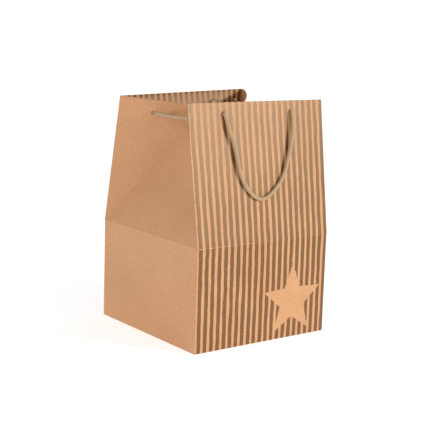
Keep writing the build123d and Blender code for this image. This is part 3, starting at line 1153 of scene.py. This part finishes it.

# %% [markdown]
# ## The side folds
# The left and right sides of the mouth are cut on the flat sheet along the two slanting creases. A half
# keeps the part outside its crease; its hem is trimmed to the mirror of the same slant, because it folds
# down over it. The second half of a side is the first one's mirror image. The half that bows the most is
# drawn with smaller squares.

# %% gusset halves
GUSSET_BEND = 0.00034
TIE_HOLE = 0.0024


def half_rule(corner, mirrored):
    """The rule that carries a half's flat sheet to its place, hem and all."""
    def rule(along, up):
        height, depth = over_rim(up, GUSSET_BEND)
        inward = DEPTH - along if mirrored else along
        return on_half(corner, inward, height, depth)
    return rule


SLANT = Vector((HALF_DEPTH, REACH)).normalized()
for side, sheet_left, first, second in (
    ("left", LEFT_START, "back", "front"),
    ("right", RIGHT_START, "front", "back"),
):
    for end, mirrored in ((first, False), (second, True)):
        corner = f"{end}_{side}"
        top = back_up(REACH - HEM, GUSSET_BEND)
        step = 0.0055 if corner == "back_right" else 0.0082
        bm = flat_sheet((0, 0), (HALF_DEPTH, top), step)
        crease_rim(bm, GUSSET_BEND)
        for inward, up in TIE_HOLES.values():
            punch(bm, (inward, up), TIE_HOLE)
            punch(bm, (inward, back_up(up, GUSSET_BEND)), TIE_HOLE)
        crease_at(bm, (0, 0), (SLANT.y, -SLANT.x), trim=True)
        crease_at(bm, (0, back_up(0, GUSSET_BEND)), (SLANT.y, SLANT.x), trim=True)
        if mirrored:
            bmesh.ops.scale(bm, verts=bm.verts, vec=(-1, 1, 1))
            bmesh.ops.translate(bm, verts=bm.verts, vec=(DEPTH, 0, 0))
            bmesh.ops.reverse_faces(bm, faces=bm.faces)
        fold_into_place(bm, half_rule(corner, mirrored), sheet_left, CREASE)
        node = f"{side}_gusset_{end}_half"
        half = make_piece(f"{node}_sheet", bm, None, [node, f"{node}_hem"])
        give_thickness(half, PAPER, kraft_outside, kraft_inside)
        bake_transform(half)
print("gusset halves", [name for name in PIECES if "half_sheet" in name])

# %% [markdown]
# The centre triangle is the part between the two slanting creases. It is trimmed from the same flat sheet
# and carried by a rule that needs only the two feet and the inner tip. It dips inward by about half a
# millimetre in the middle.

# %% gusset centres
CENTRE_DIP = 0.0006
CENTRE_FEET = {"left": ("back_left", "front_left"), "right": ("front_right", "back_right")}


def centre_rule(side):
    """The rule that carries the centre triangle to its place."""
    left, right = [FOOT[corner] for corner in CENTRE_FEET[side]]

    def rule(along, up):
        middle = (left + right) / 2
        place = left.lerp(right, along / DEPTH) + (TIP[side] - middle) * (up / REACH)
        outward = (right - left).cross(TIP[side] - middle).normalized()
        room = max(HALF_DEPTH * (1 - up / REACH), 1e-6)
        across = min(abs(along - HALF_DEPTH) / room, 1.0)
        rise = math.sin(math.pi * min(max(up / REACH, 0), 1))
        return place - outward * CENTRE_DIP * rise * (1 - across ** 2)
    return rule


for side, sheet_left in (("left", LEFT_START), ("right", RIGHT_START)):
    bm = flat_sheet((0, 0), (DEPTH, REACH), 0.0085)
    crease_at(bm, (0, 0), (-SLANT.y, SLANT.x), trim=True)
    crease_at(bm, (DEPTH, 0), (SLANT.y, SLANT.x), trim=True)
    fold_into_place(bm, centre_rule(side), sheet_left, CREASE)
    node = f"{side}_gusset_centre"
    centre = make_piece(f"{node}_sheet", bm, f"{side}_centre", [node])
    give_thickness(centre, PAPER, kraft_outside, kraft_inside)
print("gusset centres", [name for name in PIECES if "centre_sheet" in name])

# %% [markdown]
# ## The pieces the CAD already has right
# The bottom flaps, the tucks, the lower seam flap, the two small hem tips and the board are flat paper
# and board, and the CAD solids show them as they are. They only need their finishes.

# %% finishes on CAD nodes
FINISHES = {"kraft_paper": kraft_plain, "grey_board": grey_board}
for name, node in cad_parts.items():
    if node.hide_render:
        continue
    for slot in node.material_slots:
        slot.material = FINISHES[slot.material.name.split(".")[0]]
    print("kept", name)

# %% [markdown]
# ## Floor
# The bag stands on a white light table. The floor glows a little, so shadows on it stay faint and its
# light reaches the walls from below.

# %% floor
FLOOR_SIZE = 6.0
FLOOR_GLOW = 0.54
bm = bmesh.new()
bmesh.ops.create_grid(bm, x_segments=2, y_segments=2, size=FLOOR_SIZE)
floor_mesh = bpy.data.meshes.new("floor")
bm.to_mesh(floor_mesh)
bm.free()
floor = bpy.data.objects.new("floor", floor_mesh)
floor.location = (0, 0, -0.0002)
bpy.context.scene.collection.objects.link(floor)
floor_material, _, floor_shader = start_material("white floor")
floor_shader.inputs["Base Color"].default_value = (0.80, 0.80, 0.80, 1)
floor_shader.inputs["Emission Color"].default_value = (1, 1, 1, 1)
floor_shader.inputs["Emission Strength"].default_value = FLOOR_GLOW
floor_shader.inputs["Roughness"].default_value = 0.9
floor_shader.inputs["Specular IOR Level"].default_value = 0.1
floor_mesh.materials.append(floor_material)
print("floor glows with strength", FLOOR_GLOW)

# %% [markdown]
# ## Light
# A white room lights the bag evenly, and looks brighter to the camera than it shines. A low soft sun from
# the front right models the folds and puts the handles' shadows to their left, and a wide low fill lights
# the left side.

# %% light
ROOM_SHINES = 0.56
ROOM_LOOKS = 1.2
world = bpy.data.worlds.new("white room")
world.use_nodes = True
surround = world.node_tree.nodes["Background"]
surround.inputs["Color"].default_value = (1, 1, 1, 1)
sight = world.node_tree.nodes.new("ShaderNodeLightPath")
brightness = ramp(world.node_tree, sight.outputs["Is Camera Ray"], 0, 1, ROOM_SHINES, ROOM_LOOKS)
world.node_tree.links.new(brightness, surround.inputs["Strength"])
bpy.context.scene.world = world
for name, energy, spread, way in (
    ("soft sun", 1.88, 9, Vector((0.554, -0.791, 0.259)).normalized()),
    ("side fill", 1.0, 60, Vector((-0.95, -0.25, 0.10))),
):
    light_data = bpy.data.lights.new(name, "SUN")
    light_data.energy = energy
    light_data.angle = math.radians(spread)
    light = bpy.data.objects.new(name, light_data)
    light.rotation_mode = "QUATERNION"
    light.rotation_quaternion = way.to_track_quat("Z", "Y")
    bpy.context.scene.collection.objects.link(light)
    print(name, "shines from", tuple(round(x, 2) for x in way))
bpy.context.scene.view_settings.view_transform = "Standard"
